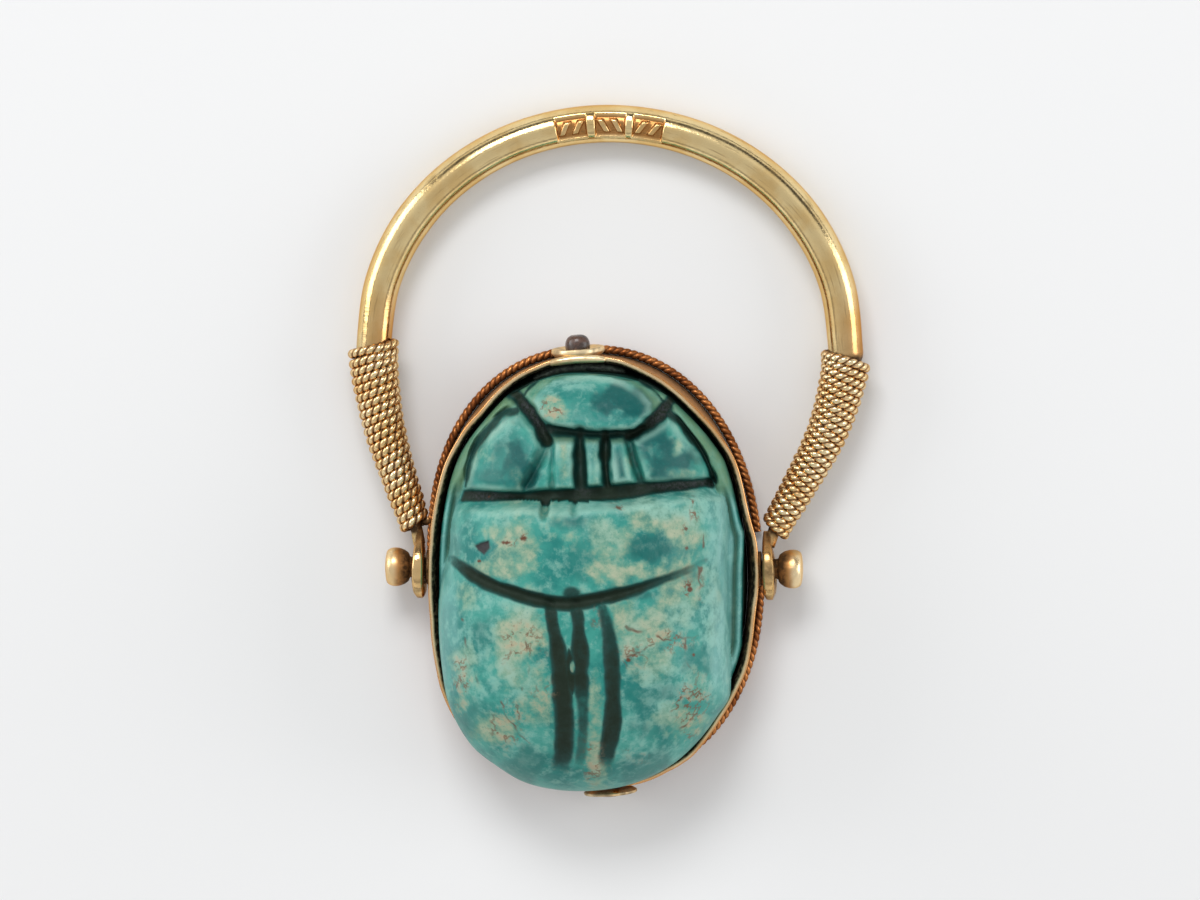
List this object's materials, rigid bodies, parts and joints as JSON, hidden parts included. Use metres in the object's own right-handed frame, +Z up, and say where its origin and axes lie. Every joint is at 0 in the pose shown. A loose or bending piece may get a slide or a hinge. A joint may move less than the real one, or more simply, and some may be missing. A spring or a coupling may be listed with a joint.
{
  "type": "scarab swivel ring",
  "caption": "Gold wire ring whose oval setting, holding a carved turquoise-glazed scarab, turns on pins between the hoop's pierced ears.",
  "frame": {"origin": "centre of the scarab's flat underside, straight below the swivel axis", "axes": "+X along the swivel axis, +Y from the scarab's tail to its head and on to the far end of the hoop, +Z up out of the scarab's back"},
  "size_m": [0.0208, 0.0277, 0.0071],
  "materials": {
    "glaze": "mottled turquoise glaze, worn and pitted, satin gloss",
    "gold": "polished yellow gold with fine scratches",
    "gold_wire": "twisted gold wire with dark crevices",
    "gold_border": "twisted gold wire, tarnished reddish brown",
    "rivet": "dark polished metal"
  },
  "bodies": {
    "setting": {"scarab": "glaze", "bezel": "gold", "border_upper": "gold_border", "border_lower": "gold_border", "swivel_pin_left": "gold", "swivel_pin_right": "gold", "rivet_collar_top": "gold", "rivet_collar_bottom": "gold", "rivet_head_top": "rivet", "rivet_head_bottom": "rivet"},
    "hoop": {"shank": "gold", "wire_wrap_left": "gold_wire", "wire_wrap_right": "gold_wire"}
  },
  "joints": [
    {"name": "swivel", "type": "hinge", "parent": "setting", "child": "hoop", "pos_m": [0, 0, 0.0015], "axis": [1, 0, 0], "continuous": true}
  ]
}
